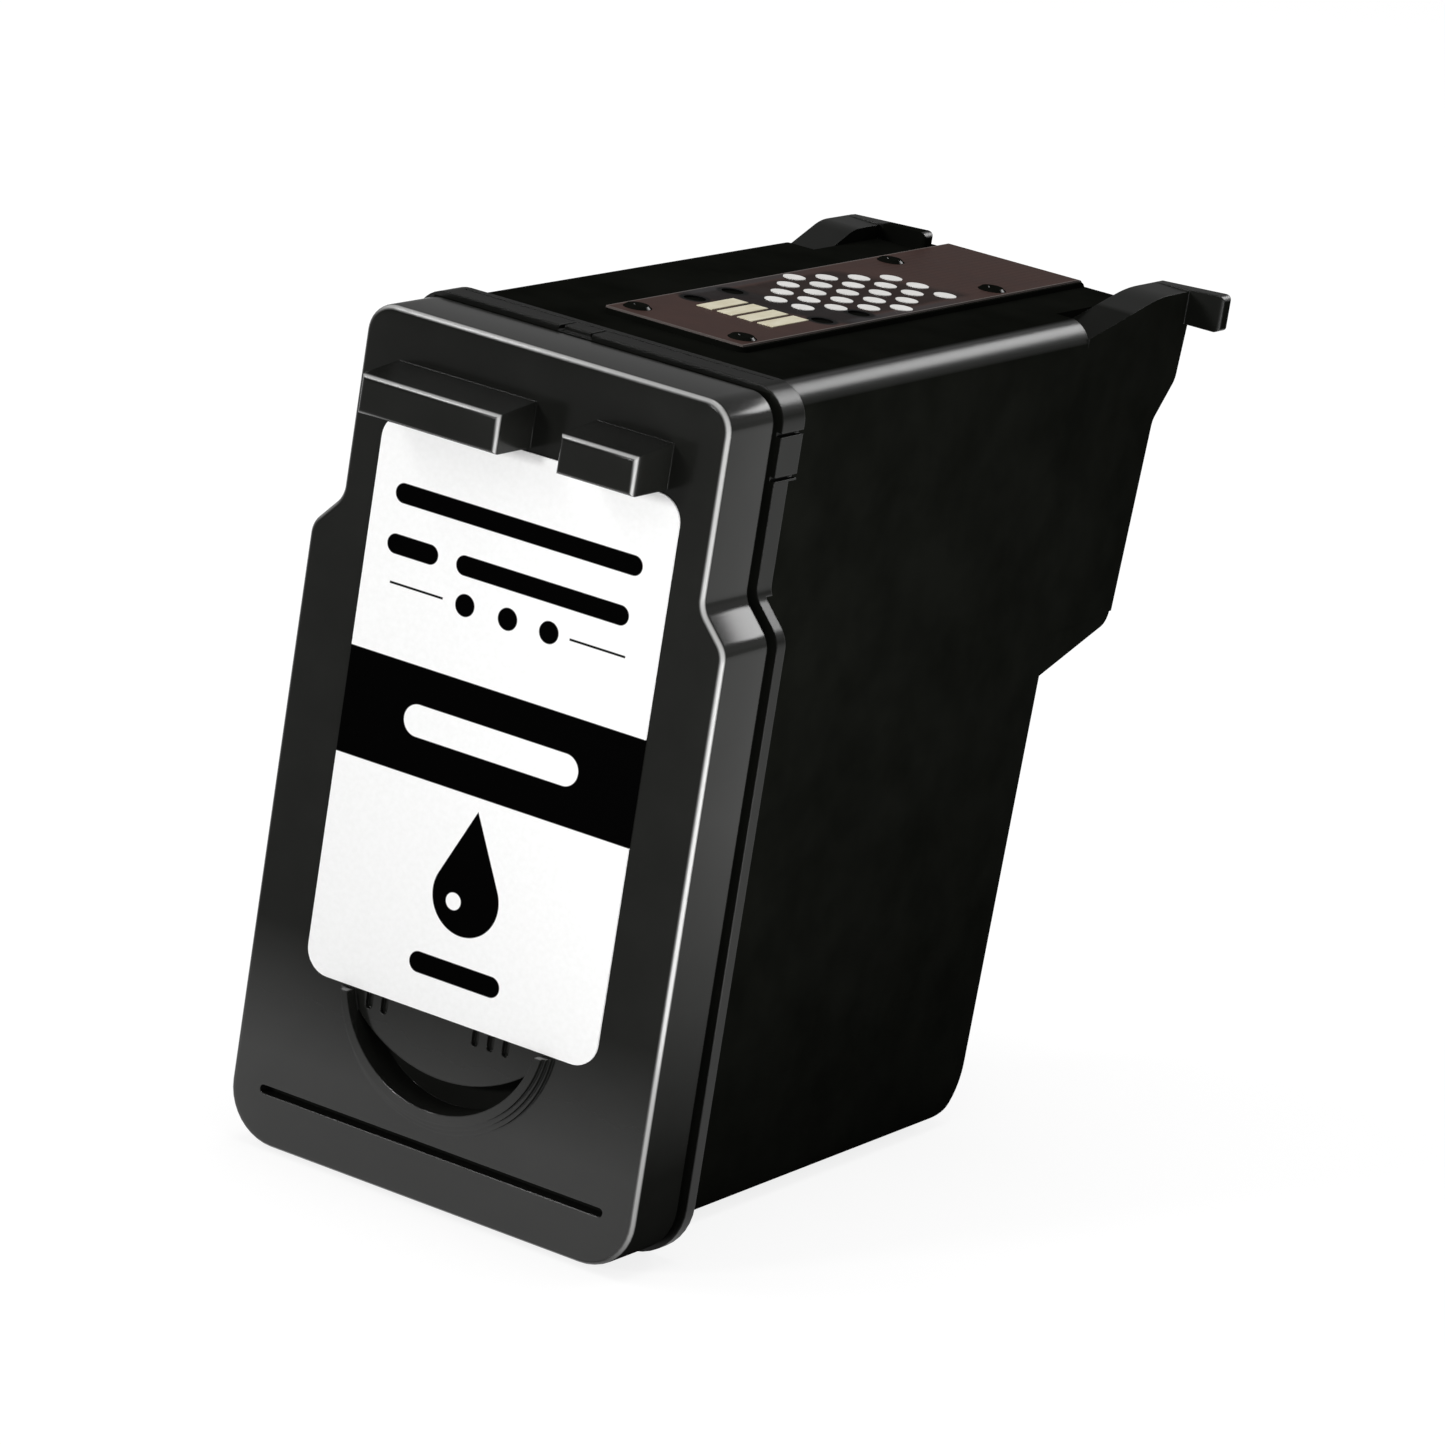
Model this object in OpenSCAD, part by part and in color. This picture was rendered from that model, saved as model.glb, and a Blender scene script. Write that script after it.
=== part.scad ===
// Inkjet ink cartridge with its print head built in.
// A moulded tank holds the ink in a fibre absorber. A welded front cover closes it
// and carries the two latch blocks. Ink leaves through a filter and a standpipe to
// the nozzle chip on the end of the nose, and a wiring tape runs from the chip
// over the top edge to the contact pads.
// The cartridge stands on its underside with its label towards -Y.
// Sizes are in millimetres. Measured depths start at the cover's front face.

/* [Cover] */
// How far the cover stands out past the tank's sides below its shoulders
cover_side = 3.9; // [2.5:0.1:6]
// How far it stands out past the tank's sides above its shoulders
cover_top_side = 1.5; // [1:0.1:2.4]
// Height of the cover
cover_height = 64.6; // [56:0.2:72]
// How far the cover reaches below the tank's underside
cover_drop = 0.3; // [0:0.1:1]
// Drop from the cover's top to the foot of its shoulders
shoulder_drop = 17.4; // [12:0.1:30]
// Rise of the slanted shoulder
shoulder_rise = 2.6; // [2:0.1:5]
// Thickness of the cover, front to back
cover_thickness = 5.8; // [4.5:0.1:8]
// Corner radius at the top of the cover
cover_top_radius = 2.3; // [2:0.1:6]
// Corner radius at the bottom of the cover
cover_bottom_radius = 4.2; // [2:0.1:8]
// Radius of the shoulder's two bends
shoulder_radius = 2; // [1.4:0.1:3]
// Rounding of the cover's front edge
cover_edge = 0.5; // [0.3:0.1:0.9]
// Front plate thickness behind the label
cover_plate = 2; // [1.4:0.1:3]
// Width of the land that is welded to the tank
cover_land = 3.4; // [3:0.1:5]
// Height of the solid foot below the cored part
cover_foot = 17; // [15:0.5:22]
// Thickness of the ribs that hold the absorber back
rib_thickness = 1.2; // [0.8:0.1:2]
// Distance of each rib from the middle
rib_offset = 6.4; // [4:0.1:8]
// Gap between the ribs' ends and the cored back
rib_end_gap = 3.8; // [1:0.1:8]

/* [Latch blocks] */
// How far the blocks stand out of the cover
block_reach = 4.6; // [2:0.1:7]
// Height of the blocks at the cover
block_height = 3.5; // [2.5:0.1:5]
// Drop from the cover's top to the blocks' tops
block_drop = 3.7; // [2.4:0.1:5]
// Drop of the blocks' tops at their front
block_droop = 0.6; // [0:0.1:1.2]
// Rounding of the blocks' edges
block_edge = 0.45; // [0.2:0.05:0.8]
// Width of the left block
left_block_width = 12.1; // [8:0.1:14]
// Middle of the left block
left_block_at = -6.4; // [-8:0.1:-6.2]
// Width of the right block
right_block_width = 6.6; // [4:0.1:8]
// Middle of the right block
right_block_at = 8.1; // [5:0.1:10]

/* [Grip and slot] */
// Radius of the crescent lip at its foot
grip_radius = 9.4; // [7:0.1:10.5]
// Height of the crescent's middle
grip_level = 15; // [14:0.1:17]
// How far the lip stands out of the cover
grip_reach = 1.1; // [0.5:0.1:2]
// Draft of the lip's outside, foot to rim
grip_draft = 0.5; // [0.1:0.05:0.8]
// Rise of the rim's middle above the foot's
grip_lean = 0.8; // [0:0.1:1]
// Thickness of the lip at its rim
grip_rim = 0.35; // [0.25:0.05:0.6]
// Radius of the upper side of the finger pocket
pocket_radius = 11.6; // [10:0.1:14]
// Thickness of the crescent pocket at the bottom
pocket_width = 2.2; // [1:0.1:3]
// Depth of the finger pocket behind the front face
pocket_depth = 1.8; // [0.5:0.1:2.6]
// Length of the slot near the foot
slot_length = 30.8; // [20:0.1:31]
// Width of the slot
slot_width = 0.7; // [0.4:0.05:1.2]
// Depth of the slot
slot_depth = 1.2; // [0.4:0.1:2]
// Height of the slot
slot_level = 4; // [3:0.1:4.6]

/* [Label and vent] */
// Width of the label
label_width = 25.8; // [20:0.1:27]
// Height of the label's lower edge
label_bottom = 14.1; // [13:0.1:16]
// Gap between the label's upper edge and the blocks above it
label_gap = 0.3; // [0.1:0.1:5]
// Corner radius of the label
label_radius = 2; // [0.5:0.1:3]
// Thickness of the label
label_thickness = 0.15; // [0.1:0.05:0.3]
// Radius of the vent hole through the cover
vent_radius = 0.5; // [0.3:0.05:0.8]
// Width of the air channel under the label
channel_width = 0.6; // [0.3:0.1:1]
// Depth of the air channel
channel_depth = 0.35; // [0.2:0.05:0.6]
// Spacing of the air channel's runs
channel_pitch = 1.8; // [1.2:0.1:2.4]
// Height of the channel's first run over the label's lower edge
channel_start = 4; // [3:0.1:6]
// Number of the air channel's runs
channel_runs = 6; // [2:2:8]
// Length of the air channel's runs
channel_length = 14.6; // [10:0.2:20]
// Length of the oval marks below the label
mark_length = 1.3; // [0.8:0.1:1.6]
// Spacing of the oval marks
mark_pitch = 1.35; // [1:0.05:1.8]
// Middle of the three marks on the right
marks_at = 3.85; // [2:0.05:6]

/* [Tank] */
// Width of the tank
tank_width = 28.4; // [24:0.2:30]
// Draft of each side wall, from the mouth to the hooks' ends
tank_draft = 0.5; // [0:0.1:0.8]
// Wall thickness of the tank
tank_wall = 1.8; // [1.2:0.1:2.4]
// Drop of the tank's top below the cover's top
tank_drop = 0.2; // [0:0.1:1]
// Gap between the cover and the tank's flange
flange_gap = 0.8; // [0.5:0.1:2]
// How far the flange stands out past the cover's outline
flange_proud = 0.35; // [0:0.05:0.8]
// Inset of the weld rim in that gap
rim_inset = 1.1; // [0.6:0.1:1.4]
// Depth of the flange around the top
flange_depth = 2.9; // [2.4:0.1:4]
// Depth of the flange beside the upper tank
strip_depth = 1.9; // [1.4:0.1:2.4]
// Depth of the flange around the lower tank
skirt_depth = 1.1; // [0.8:0.1:2]
// Depth of the tank's underside from the cover's face
tank_depth = 53.4; // [46:0.2:58]
// Lean of the tank's far wall up to the nose
tank_lean = 1.8; // [0:0.1:3]
// Radius of the tank's right top edge
right_tank_edge = 2; // [1:0.1:3.5]
// Radius of the tank's left top edge
left_tank_edge = 1; // [0.4:0.1:3.5]
// Radius of the tank's bottom edges
tank_foot_edge = 1.2; // [0.4:0.1:2]
// Radius at the far bottom corner
tank_far_radius = 4.6; // [2:0.1:7]
// Drop from the flange's top to the side lugs' lower slit
lug_drop = 6.4; // [5:0.1:9]
// Height of the side lugs
lug_height = 3.4; // [2:0.1:4]
// Width of the slits beside the lugs and the top tab
slit_width = 0.3; // [0.2:0.05:0.8]
// Depth of those slits
slit_depth = 0.4; // [0.3:0.05:0.9]
// Middle of the tab on top of the flange
tab_at = -2.2; // [-6:0.1:4]
// Width of the tab on top of the flange
tab_width = 2.6; // [1.5:0.1:5]

/* [Nose] */
// Length of the nose past the tank's far wall
nose_length = 10; // [6:0.1:14]
// Height of the nose down from the tank's top
nose_height = 24.9; // [22:0.1:30]
// Rise of the nose's underside over its length
nose_rise = 0.5; // [0:0.1:2]
// Drop of the web that braces the nose, at the tank
web_drop = 3.5; // [1:0.1:6]
// Drop of the web at the nozzle face
web_end_drop = 0.4; // [0.1:0.1:1]
// Radius of the web's far corner
web_radius = 1.4; // [0.4:0.1:2]
// Inset of that web from the tank's sides
web_inset = 0.15; // [0.1:0.05:2]
// Thickness of the wall behind the nozzle face
nose_wall = 7; // [5:0.1:8]
// Thickness of the side cheeks and ears
ear_thickness = 3.6; // [3:0.1:5]
// How far the cheeks stand past the nozzle face at their top
cheek_reach = 1.4; // [0.4:0.1:2]
// Drop from the tank's top to where the cheeks reach furthest
cheek_drop = 9.1; // [7:0.1:12]

/* [Hooks] */
// Depth of the ears' roots below the tank's top
ear_root = 6; // [4:0.1:7]
// Drop of the tank's edge where the ears start
ear_drop = 1.2; // [0.6:0.1:1.6]
// Start of the right ear's ramp before the nozzle face
right_ear_setback = 11.3; // [8:0.1:14]
// Length of the right ear's ramp
right_ramp = 10.6; // [6:0.1:12]
// Rounding at the top of the right ramp
right_ramp_round = 16; // [2:1:18]
// How far the right hook stands past the nozzle face
right_hook_reach = 5.1; // [4:0.1:8]
// Height of the right hook over the tank's top
right_hook_rise = 1; // [0.5:0.1:3]
// How far the right hook's bar runs past its ear
right_bar_reach = 2.7; // [2:0.1:4]
// Setback of the right ear's back edge behind the bar
neck_setback = 0.6; // [0.2:0.1:1]
// Taper of that edge down to its waist
neck_taper = 0.5; // [0.1:0.1:1]
// Height of the waist over the cheek
waist_rise = 3; // [1.5:0.1:4.5]
// Rounding of the waist
waist_round = 1.4; // [0.4:0.1:1.6]
// Start of the left ear's ramp before the nozzle face
left_ear_setback = 12.7; // [11:0.1:15]
// Length of the left ear's ramp
left_ramp = 5.8; // [4:0.1:6]
// Rounding at the top of the left ramp
left_ramp_round = 5; // [1:0.5:7]
// Far side of the left hook before the nozzle face
left_hook_setback = 1.9; // [1:0.1:4]
// Height of the left hook over the tank's top
left_hook_rise = 1.1; // [0.5:0.1:3]
// How far the left hook's bar runs past its ear
left_bar_reach = 4.3; // [2:0.1:4.6]
// Thickness of the hook bars, front to back
hook_thickness = 1.3; // [1:0.1:3]
// Height of the hook bars
hook_height = 2.6; // [1.6:0.1:4]
// Rise of the hook bars to their free ends
hook_rise = 0.35; // [0:0.05:0.6]
// Rounding of the corners at the bars' free ends
hook_corner = 0.6; // [0.3:0.1:1]
// Rounding of the hook bars' edges
hook_edge = 0.35; // [0.2:0.05:0.4]

/* [Ink path] */
// Gap between the absorber and the tank's walls
absorber_gap = 0.3; // [0:0.1:0.6]
// Gap between the cover's land and the absorber's front
absorber_setback = 3.2; // [1:0.1:6]
// Outer radius of the standpipe
pipe_radius = 4.4; // [3:0.1:6]
// Wall thickness of the standpipe
pipe_wall = 1; // [0.8:0.1:1.6]
// Thickness of the outlet filter
filter_thickness = 0.2; // [0.1:0.05:0.5]
// Width of the filter's seat on the pipe wall
filter_seat = 0.7; // [0.3:0.05:0.8]
// Width of the ink slot behind the chip
feed_width = 1.2; // [0.6:0.1:2]
// Length of the ink slot behind the chip
feed_length = 13; // [8:0.5:16]

/* [Wiring tape] */
// Width of the plateau under the wiring tape
plateau_width = 12.5; // [9:0.1:15]
// Middle of the plateau
plateau_at = 0.35; // [-1:0.05:1]
// Near end of the plateau from the cover's front face
plateau_start = 15.4; // [13:0.1:18]
// Height of the plateau over the tank's top
plateau_rise = 0.4; // [0.3:0.05:1]
// Corner radius of the plateau
plateau_radius = 1; // [0.4:0.1:2]
// Thickness of the tape
tape_thickness = 0.15; // [0.1:0.05:0.3]
// Inset of the tape from the plateau's edge
tape_inset = 0.25; // [0.1:0.05:0.6]
// Bend radius of the tape over the top edge
tape_bend = 0.7; // [0.3:0.1:1.5]
// Gap between the nose's underside and the tape's lower end
tape_end_gap = 2.2; // [1:0.1:3]
// Radius of the tape's tooling holes
tooling_radius = 0.85; // [0.3:0.05:1]
// Spacing of the tooling holes across the tape
tooling_span = 8.6; // [8.4:0.1:9.6]
// First left tooling hole from the tape's near end
tooling_left = 9.4; // [7:0.1:12]
// First right tooling hole from the tape's near end
tooling_right = 13.6; // [13.5:0.1:15]
// Step from a tooling hole to the next one on its side
tooling_step = 5.2; // [4:0.1:6]
// Radius of the heat-staked heads
stake_radius = 1.05; // [0.6:0.05:1.4]
// Height of those heads over the tape
stake_rise = 0.2; // [0.1:0.05:0.5]
// Clearance of the tape round the stakes
stake_gap = 0.05; // [0.02:0.01:0.1]
// Spacing of the stakes across the tape
stake_span = 9.2; // [8.6:0.1:9.8]
// Distance of the stakes from the tape's near end
stake_start = 2.1; // [1.8:0.1:4]
// Distance of the far stakes from the nozzle face
stake_setback = 11.7; // [8:0.1:13]

/* [Contacts] */
// Radius of the round contacts
pad_radius = 0.87; // [0.5:0.01:1]
// Thickness of the contacts on the tape
pad_thickness = 0.06; // [0.03:0.01:0.2]
// Spacing of neighbouring pads across the tape
pad_step_across = 1.2; // [1:0.05:1.3]
// Spacing of neighbouring pads along the tape
pad_step_along = 2.76; // [2:0.02:3]
// First pad across the tape
pad_first_across = -4.75; // [-5:0.05:-4.5]
// First pad along the tape from its near end
pad_first_along = 24; // [22:0.1:26]
// Lone pad across the tape
lone_pad_across = 4.1; // [3:0.1:4.5]
// Distance of the lone pad before the far stakes
lone_pad_setback = 6.2; // [3:0.1:8]
// Length of the bar contacts
bar_length = 5; // [3:0.1:6]
// Width of the bar contacts
bar_width = 1.35; // [0.8:0.05:1.6]
// Spacing of the bar contacts
bar_pitch = 1.78; // [1.4:0.02:2]
// Number of bar contacts
bar_count = 4; // [2:1:4]
// Middle of the bars across the tape
bars_across = 0.5; // [0:0.1:1]
// Middle of the bars along the tape from its near end
bars_along = 9.9; // [9:0.1:11]

/* [Nozzle chip] */
// Length of the chip
chip_length = 16; // [12:0.1:18]
// Width of the chip
chip_width = 4.2; // [3:0.1:6]
// Thickness of the chip
chip_thickness = 0.62; // [0.4:0.02:0.8]
// Drop from the tank's top to the chip's middle
chip_drop = 12; // [11:0.1:13]
// Gap around the chip in its seat
chip_gap = 0.25; // [0.1:0.05:0.5]
// Thickness of the nozzle layer
nozzle_thickness = 0.1; // [0.05:0.01:0.2]
// Inset of the nozzle layer from the chip's ends
nozzle_inset = 1; // [0.6:0.1:1.6]
// Spacing of the two nozzle rows
nozzle_rows = 1.4; // [0.8:0.1:2]
// Radius of the sealing beads over the leads
bead_radius = 0.5; // [0.3:0.05:0.7]

/* [Hidden] */

eps = 0.01;
arc_steps = 10;
// Shares of a stake head's radius: its flat crown, its dimple and the dimple's floor
head_crown = 0.8;
head_dimple = 0.35;
head_floor = 0.2;
fine_fn = 48;
pad_fn = 32;

// Heights and depths that follow from the sizes above
tank_half = tank_width / 2;
stand = cover_drop + flange_proud;
cover_top = cover_height - cover_drop;
tank_top = cover_top - tank_drop;
cover_width = tank_width + 2 * cover_side;
cover_top_width = tank_width + 2 * cover_top_side;
shoulder_height = cover_top - shoulder_drop;
block_level = cover_top - block_drop - block_height;
label_top = block_level - label_gap;
lug_level = cover_top - lug_drop;
nose_level = tank_top - nose_height;
cheek_level = tank_top - cheek_drop;
chip_level = tank_top - chip_drop;
flange_front = cover_thickness + flange_gap;
flange_top = cover_top + flange_proud;
flange_half = cover_top_width / 2 + flange_proud;
far_foot = tank_depth;
far_top = tank_depth + tank_lean;
nose_depth = far_top + nose_length;
nose_inner = nose_depth - nose_wall;
cavity_half = tank_half - tank_wall;
pipe_front = far_top - tank_wall;
absorber_front = cover_thickness + absorber_setback;
plateau_top = tank_top + plateau_rise;
tape_top = plateau_top + tape_thickness;
tape_start = plateau_start + tape_inset;
tape_width = plateau_width - 2 * tape_inset;
chip_floor = nose_depth - chip_thickness;
tape_end = nose_level + tape_end_gap;
ear_inner = tank_half - ear_thickness;
right_ear_start = nose_depth - right_ear_setback;
right_ear_end = right_ear_start + right_ramp;
right_hook_end = nose_depth + right_hook_reach;
left_ear_start = nose_depth - left_ear_setback;
left_ear_end = left_ear_start + left_ramp;
left_hook_end = nose_depth - left_hook_setback;
overall_depth = right_hook_end + block_reach;
centre_depth = right_hook_end - overall_depth / 2;

black_plastic = [0.09, 0.09, 0.085];
cover_plastic = [0.19, 0.19, 0.18];
label_white = [0.96, 0.96, 0.95];
fibre_grey = [0.55, 0.55, 0.58];
steel = [0.72, 0.73, 0.75];
tape_brown = [0.30, 0.21, 0.20];
pad_ivory = [0.93, 0.90, 0.82];
pad_gold = [0.86, 0.76, 0.48];
silicon = [0.34, 0.36, 0.42];
nozzle_amber = [0.52, 0.40, 0.26];
sealant_black = [0.12, 0.11, 0.11];

// Unit vector from one point to another
function towards(a, b) = (b - a) / norm(b - a);

// Corner i of a closed outline, moved inwards by d, counter-clockwise outlines only
function inset_corner(pts, i, d) =
    let (n = len(pts), p = pts[i],
         u = towards(pts[(i + n - 1) % n], p), v = towards(p, pts[(i + 1) % n]),
         a = [-u.y, u.x], b = [-v.y, v.x])
    p + (a + b) * d / (1 + a * b);

// Arc that rounds corner i of a closed outline with radius r
function corner_arc(pts, i, r, steps) =
    let (n = len(pts), p = pts[i],
         u = towards(p, pts[(i + n - 1) % n]), v = towards(p, pts[(i + 1) % n]),
         half = acos(max(-1, min(1, u * v))) / 2,
         middle = p + towards([0, 0], u + v) * r / sin(half),
         from = p + u * r / tan(half) - middle, to = p + v * r / tan(half) - middle,
         a0 = atan2(from.y, from.x), turn = atan2(to.y, to.x) - a0,
         sweep = turn > 180 ? turn - 360 : turn < -180 ? turn + 360 : turn)
    [for (k = [0:steps]) middle + r * [cos(a0 + sweep * k / steps), sin(a0 + sweep * k / steps)]];

// Outline with every corner rounded
function rounded(pts, radii, steps = arc_steps) =
    [for (i = [0:len(pts) - 1]) each (radii[i] > 0 ? corner_arc(pts, i, radii[i], steps) : [pts[i]])];

// The cover's outline in X and Z, anticlockwise from its lower left corner
cover_points = [[-cover_width / 2, -cover_drop], [cover_width / 2, -cover_drop],
                [cover_width / 2, shoulder_height],
                [cover_top_width / 2, shoulder_height + shoulder_rise],
                [cover_top_width / 2, cover_top], [-cover_top_width / 2, cover_top],
                [-cover_top_width / 2, shoulder_height + shoulder_rise],
                [-cover_width / 2, shoulder_height]];
cover_radii = [cover_bottom_radius, cover_bottom_radius, shoulder_radius, shoulder_radius,
               cover_top_radius, cover_top_radius, shoulder_radius, shoulder_radius];
// Bends that turn inwards grow where the outline shrinks
cover_bend_signs = [-1, -1, -1, 1, -1, -1, 1, -1];

function cover_outline(d) =
    rounded([for (i = [0:len(cover_points) - 1]) inset_corner(cover_points, i, d)],
            [for (i = [0:len(cover_points) - 1]) cover_radii[i] + cover_bend_signs[i] * d]);

// Moves a piece so that the box round the cartridge stands centred on the origin
module placed() {
    translate([0, -centre_depth, stand])
        children();
}

// Profile in X and Z, pushed back from depth y0 over the given length
module pushed_back(y0, length) {
    translate([0, y0 + length, 0])
        rotate([90, 0, 0])
            linear_extrude(length)
                children();
}

// Profile in Y and Z, stretched across from x0 over the given width
module stretched_across(x0, width) {
    translate([x0, 0, 0])
        rotate([90, 0, 90])
            linear_extrude(width)
                children();
}

// Box from its low corner to its high corner
module block(low, high) {
    translate(low)
        cube(high - low);
}

// Closed skin through rings of equal length, each at its own depth
module skin(rings) {
    n = len(rings[0]);
    last = len(rings) - 1;
    front = n * len(rings);
    middle = [0, 0, cover_top / 2];
    polyhedron(
        points = concat([for (ring = rings) each ring],
                        [[middle.x, rings[0][0].y, middle.z], [middle.x, rings[last][0].y, middle.z]]),
        faces = concat(
            [for (i = [0:n - 1]) [front, (i + 1) % n, i]],
            [for (k = [0:last - 1], i = [0:n - 1])
                [k * n + i, k * n + (i + 1) % n, (k + 1) * n + (i + 1) % n]],
            [for (k = [0:last - 1], i = [0:n - 1])
                [k * n + i, (k + 1) * n + (i + 1) % n, (k + 1) * n + i]],
            [for (i = [0:n - 1]) [front + 1, last * n + i, last * n + (i + 1) % n]]),
        convexity = 6);
}

// Plate with the cover's outline and a rounded front edge
module cover_plate_blank() {
    steps = 4;
    front_rings = [for (k = [0:steps])
        let (a = 90 * k / steps, d = cover_edge * (1 - sin(a)), y = cover_edge * (1 - cos(a)))
        [for (p = cover_outline(d)) [p.x, y, p.y]]];
    back_ring = [[for (p = cover_outline(0)) [p.x, cover_thickness, p.y]]];
    skin(concat(front_rings, back_ring));
}

// Latch block: a bar with a sloped top and rounded outer edges
module latch_block(middle, width) {
    side = rounded([[cover_plate / 2, block_level], [cover_plate / 2, block_level + block_height],
                    [-block_reach, block_level + block_height - block_droop],
                    [-block_reach, block_level]],
                   [0, 0, block_edge, block_edge], 4);
    plan = rounded([[middle - width / 2, cover_plate / 2], [middle - width / 2, -block_reach],
                    [middle + width / 2, -block_reach], [middle + width / 2, cover_plate / 2]],
                   [0, block_edge, block_edge, 0], 4);
    intersection() {
        stretched_across(middle - width, 2 * width)
            polygon(side);
        translate([0, 0, block_level - 1])
            linear_extrude(block_height + 2)
                polygon(plan);
    }
}

// Outline of the crescent between the lip's circle and the pocket's upper circle
module crescent(radius, middle) {
    low = middle - radius;
    intersection() {
        difference() {
            translate([0, middle])
                circle(radius, $fn = fine_fn);
            translate([0, low + pocket_width + pocket_radius])
                circle(pocket_radius, $fn = fine_fn);
        }
        translate([-radius, low])
            square([2 * radius, label_bottom - low]);
    }
}

// Raised lip of the grip, with a drafted outside
module grip_lip() {
    levels = 3;
    intersection() {
        for (k = [0:levels - 1]) {
            share = k / levels;
            pushed_back(-grip_reach * (k + 1) / levels, grip_reach + cover_plate / 2)
                translate([0, grip_level + grip_lean * share])
                    circle(grip_radius - grip_draft * share, $fn = fine_fn);
        }
        block([-grip_radius, -grip_reach, grip_level - 2 * grip_radius],
              [grip_radius, cover_plate / 2, label_bottom - label_thickness]);
    }
}

// Hollow of the grip, cut through the lip and into the cover
module grip_hollow() {
    rim_middle = grip_level + grip_lean;
    rim_inner = grip_radius - grip_draft - grip_rim;
    pushed_back(-grip_reach - eps, grip_reach + eps)
        intersection() {
            translate([0, rim_middle])
                circle(rim_inner, $fn = fine_fn);
            translate([-grip_radius, 0])
                square([2 * grip_radius, label_top]);
        }
    pushed_back(-eps, pocket_depth + eps)
        crescent(rim_inner, rim_middle);
}

// Winding air channel under the label, from the vent hole to the marks below it
module air_channel() {
    first = label_bottom + channel_start;
    for (k = [0:channel_runs - 1]) {
        side = k % 2 == 0 ? 1 : -1;
        level = first + k * channel_pitch;
        block([-channel_length / 2, -eps, level],
              [channel_length / 2, channel_depth, level + channel_width]);
        if (k < channel_runs - 1)
            block([side * (channel_length - channel_width) / 2 - channel_width / 2, -eps, level],
                  [side * (channel_length - channel_width) / 2 + channel_width / 2, channel_depth,
                   level + channel_pitch + channel_width]);
    }
    block([-channel_length / 2, -eps, label_bottom - mark_length / 2],
          [-channel_length / 2 + channel_width, channel_depth, first + channel_width]);
}

// Oval marks that show below the label
module vent_marks() {
    outlet = -(channel_length - channel_width) / 2;
    for (x = [outlet, outlet + mark_pitch, marks_at - mark_pitch, marks_at, marks_at + mark_pitch])
        pushed_back(-eps, channel_depth + eps)
            translate([x, label_bottom - mark_length / 2])
                hull()
                    for (end = [-1, 1])
                        translate([0, end * (mark_length - channel_width) / 2])
                            circle(channel_width / 2, $fn = 16);
}

module front_cover() {
    core_bottom = cover_foot;
    core_top = cover_top - cover_land;
    core_half = cover_top_width / 2 - cover_land;
    color(cover_plastic)
        placed() {
            difference() {
                union() {
                    cover_plate_blank();
                    latch_block(left_block_at, left_block_width);
                    latch_block(right_block_at, right_block_width);
                    grip_lip();
                }
                // Cored back
                block([-core_half, cover_plate, core_bottom],
                      [core_half, cover_thickness + eps, core_top]);
                grip_hollow();
                // Slot with round ends
                pushed_back(-eps, slot_depth + eps)
                    hull() {
                        translate([-(slot_length - slot_width) / 2, slot_level])
                            circle(slot_width / 2, $fn = 24);
                        translate([(slot_length - slot_width) / 2, slot_level])
                            circle(slot_width / 2, $fn = 24);
                    }
                air_channel();
                vent_marks();
                // Vent hole
                translate([channel_length / 2 - channel_width / 2, -1,
                           label_bottom + channel_start + (channel_runs - 1) * channel_pitch + channel_width / 2])
                    rotate([-90, 0, 0])
                        cylinder(r = vent_radius, h = cover_plate + 2, $fn = fine_fn);
            }
            // Ribs that hold the absorber off the cover
            for (side = [-1, 1])
                block([side * rib_offset - rib_thickness / 2, cover_plate - eps, core_bottom + rib_end_gap],
                      [side * rib_offset + rib_thickness / 2, absorber_front, core_top - rib_end_gap]);
        }
}

module cover_label() {
    half = label_width / 2;
    color(label_white)
        placed()
            pushed_back(-label_thickness, label_thickness)
                polygon(rounded([[-half, label_bottom], [half, label_bottom],
                                 [half, label_top], [-half, label_top]],
                                [label_radius, label_radius, label_radius, label_radius]));
}

// Side profile of the tank and its nose
function tank_side() = rounded(
    [[flange_front, 0], [far_foot, 0], [far_top, nose_level], [nose_depth, nose_level + nose_rise],
     [nose_depth, tank_top], [flange_front, tank_top]],
    [0, tank_far_radius, nose_rise, nose_rise, 0, 0]);

// Side profile of the web that braces the nose from below
function web_side() =
    let (slope = tank_lean / nose_level, near = far_top - slope * web_drop, root = near - tank_wall)
    rounded([[root, nose_level - 2 * web_drop], [near, nose_level - web_drop],
             [nose_depth, nose_level - web_end_drop], [nose_depth, nose_level + nose_rise + web_radius],
             [root, nose_level + nose_rise + web_radius]],
            [0, 0, web_radius, 0, 0]);

// Front view of the tank: a box with rounded long edges
function tank_front() = rounded(
    [[-tank_half, 0], [tank_half, 0], [tank_half, tank_top], [-tank_half, tank_top]],
    [tank_foot_edge, tank_foot_edge, right_tank_edge, left_tank_edge]);

// Front view pushed back from the mouth, with both sides leaning in by the draft
module drafted() {
    length = right_hook_end - flange_front;
    angle = atan(tank_draft / length);
    intersection_for (side = [-1, 1])
        translate([0, flange_front, 0])
            rotate([0, 0, side * angle])
                pushed_back(-1, length + 2)
                    children();
}

// Outside of the tank without its flange and ears
module tank_block() {
    intersection() {
        stretched_across(-tank_half, tank_width)
            polygon(tank_side());
        drafted()
            polygon(tank_front());
    }
    intersection() {
        stretched_across(-tank_half, tank_width)
            polygon(web_side());
        drafted()
            translate([-tank_half + web_inset, 0])
                square([tank_width - 2 * web_inset, tank_top]);
    }
}

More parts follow.
